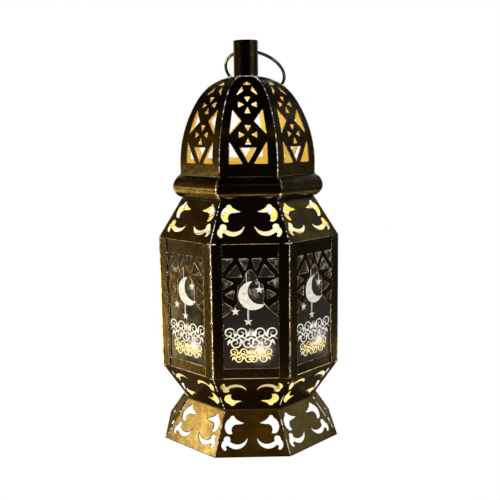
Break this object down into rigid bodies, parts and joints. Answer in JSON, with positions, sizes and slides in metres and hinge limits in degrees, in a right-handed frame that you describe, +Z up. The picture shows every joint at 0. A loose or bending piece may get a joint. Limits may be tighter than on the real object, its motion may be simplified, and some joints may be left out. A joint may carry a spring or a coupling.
{
  "type": "ramadan fanous lantern",
  "caption": "Octagonal pierced-metal fanous lantern with a flared foot, arched crescent windows, a domed top with a carrying ring, a rear door and a battery tealight.",
  "frame": {"origin": "middle of the footprint, on the surface that the lantern stands on", "axes": "+Z up along the lantern's axis, -Y out of the front face, +Y out of the rear door"},
  "size_m": [0.108, 0.1103, 0.243],
  "materials": {
    "bronze_sheet": "dark bronze lacquer, semi-gloss, mottled",
    "smoked_pane": "clear smoked sheet",
    "ring_wire": "dull bronzed wire",
    "tin": "tinned",
    "white_plastic": "satin",
    "black_plastic": "satin",
    "flame_plastic": "frosted, lit from inside",
    "led_resin": "clear resin",
    "board": "satin",
    "cell_steel": "satin"
  },
  "bodies": {
    "lantern": {"base_skirt": "bronze_sheet", "candle_tabs": "tin", "collar": "bronze_sheet", "corner_post_1": "bronze_sheet", "corner_post_2": "bronze_sheet", "corner_post_3": "bronze_sheet", "corner_post_4": "bronze_sheet", "corner_post_5": "bronze_sheet", "corner_post_6": "bronze_sheet", "corner_post_7": "bronze_sheet", "corner_post_8": "bronze_sheet", "crown_tube": "bronze_sheet", "dome_panel_1": "bronze_sheet", "dome_panel_2": "bronze_sheet", "dome_panel_3": "bronze_sheet", "dome_panel_4": "bronze_sheet", "dome_panel_5": "bronze_sheet", "dome_panel_6": "bronze_sheet", "dome_panel_7": "bronze_sheet", "dome_panel_8": "bronze_sheet", "floor_plate": "bronze_sheet", "hinge_pins": "tin", "lower_bowl": "bronze_sheet", "post_hinge_leaves": "bronze_sheet", "shoulder": "bronze_sheet", "window_clips": "tin", "window_pane_1": "smoked_pane", "window_pane_2": "smoked_pane", "window_pane_3": "smoked_pane", "window_pane_4": "smoked_pane", "window_pane_6": "smoked_pane", "window_pane_7": "smoked_pane", "window_pane_8": "smoked_pane", "window_panel_1": "bronze_sheet", "window_panel_2": "bronze_sheet", "window_panel_3": "bronze_sheet", "window_panel_4": "bronze_sheet", "window_panel_6": "bronze_sheet", "window_panel_7": "bronze_sheet", "window_panel_8": "bronze_sheet"},
    "ring": {"carrying_ring": "ring_wire"},
    "door": {"door_panel": "bronze_sheet", "door_pane": "smoked_pane", "door_clips": "tin", "door_hinge_leaves": "bronze_sheet"},
    "latch": {"latch_knob": "ring_wire", "latch_tongue": "tin"},
    "tealight": {"tealight_shell": "white_plastic", "tealight_flame": "flame_plastic", "tealight_led": "led_resin", "tealight_board": "board", "coin_cell": "cell_steel", "battery_cover": "white_plastic"},
    "switch": {"switch_slider": "black_plastic"}
  },
  "joints": [
    {"name": "ring_swing", "type": "hinge", "parent": "lantern", "child": "ring", "pos_m": [0, 0, 0.2359], "axis": [0.9078, -0.4195, 0], "range_deg": [0, 255.9]},
    {"name": "door_swing", "type": "hinge", "parent": "lantern", "child": "door", "pos_m": [-0.01997, 0.0553, 0.0875], "axis": [0, 0, 1], "range_deg": [0, 110]},
    {"name": "latch_turn", "type": "hinge", "parent": "door", "child": "latch", "pos_m": [0.01762, 0.054, 0.0875], "axis": [0, 1, 0], "range_deg": [0, 90]},
    {"name": "tealight_lift", "type": "slide", "parent": "lantern", "child": "tealight", "axis": [0, 0, 1], "range_m": [0, 0.03]},
    {"name": "switch_slide", "type": "slide", "parent": "tealight", "child": "switch", "axis": [1, 0, 0], "range_m": [0, 0.003]}
  ]
}
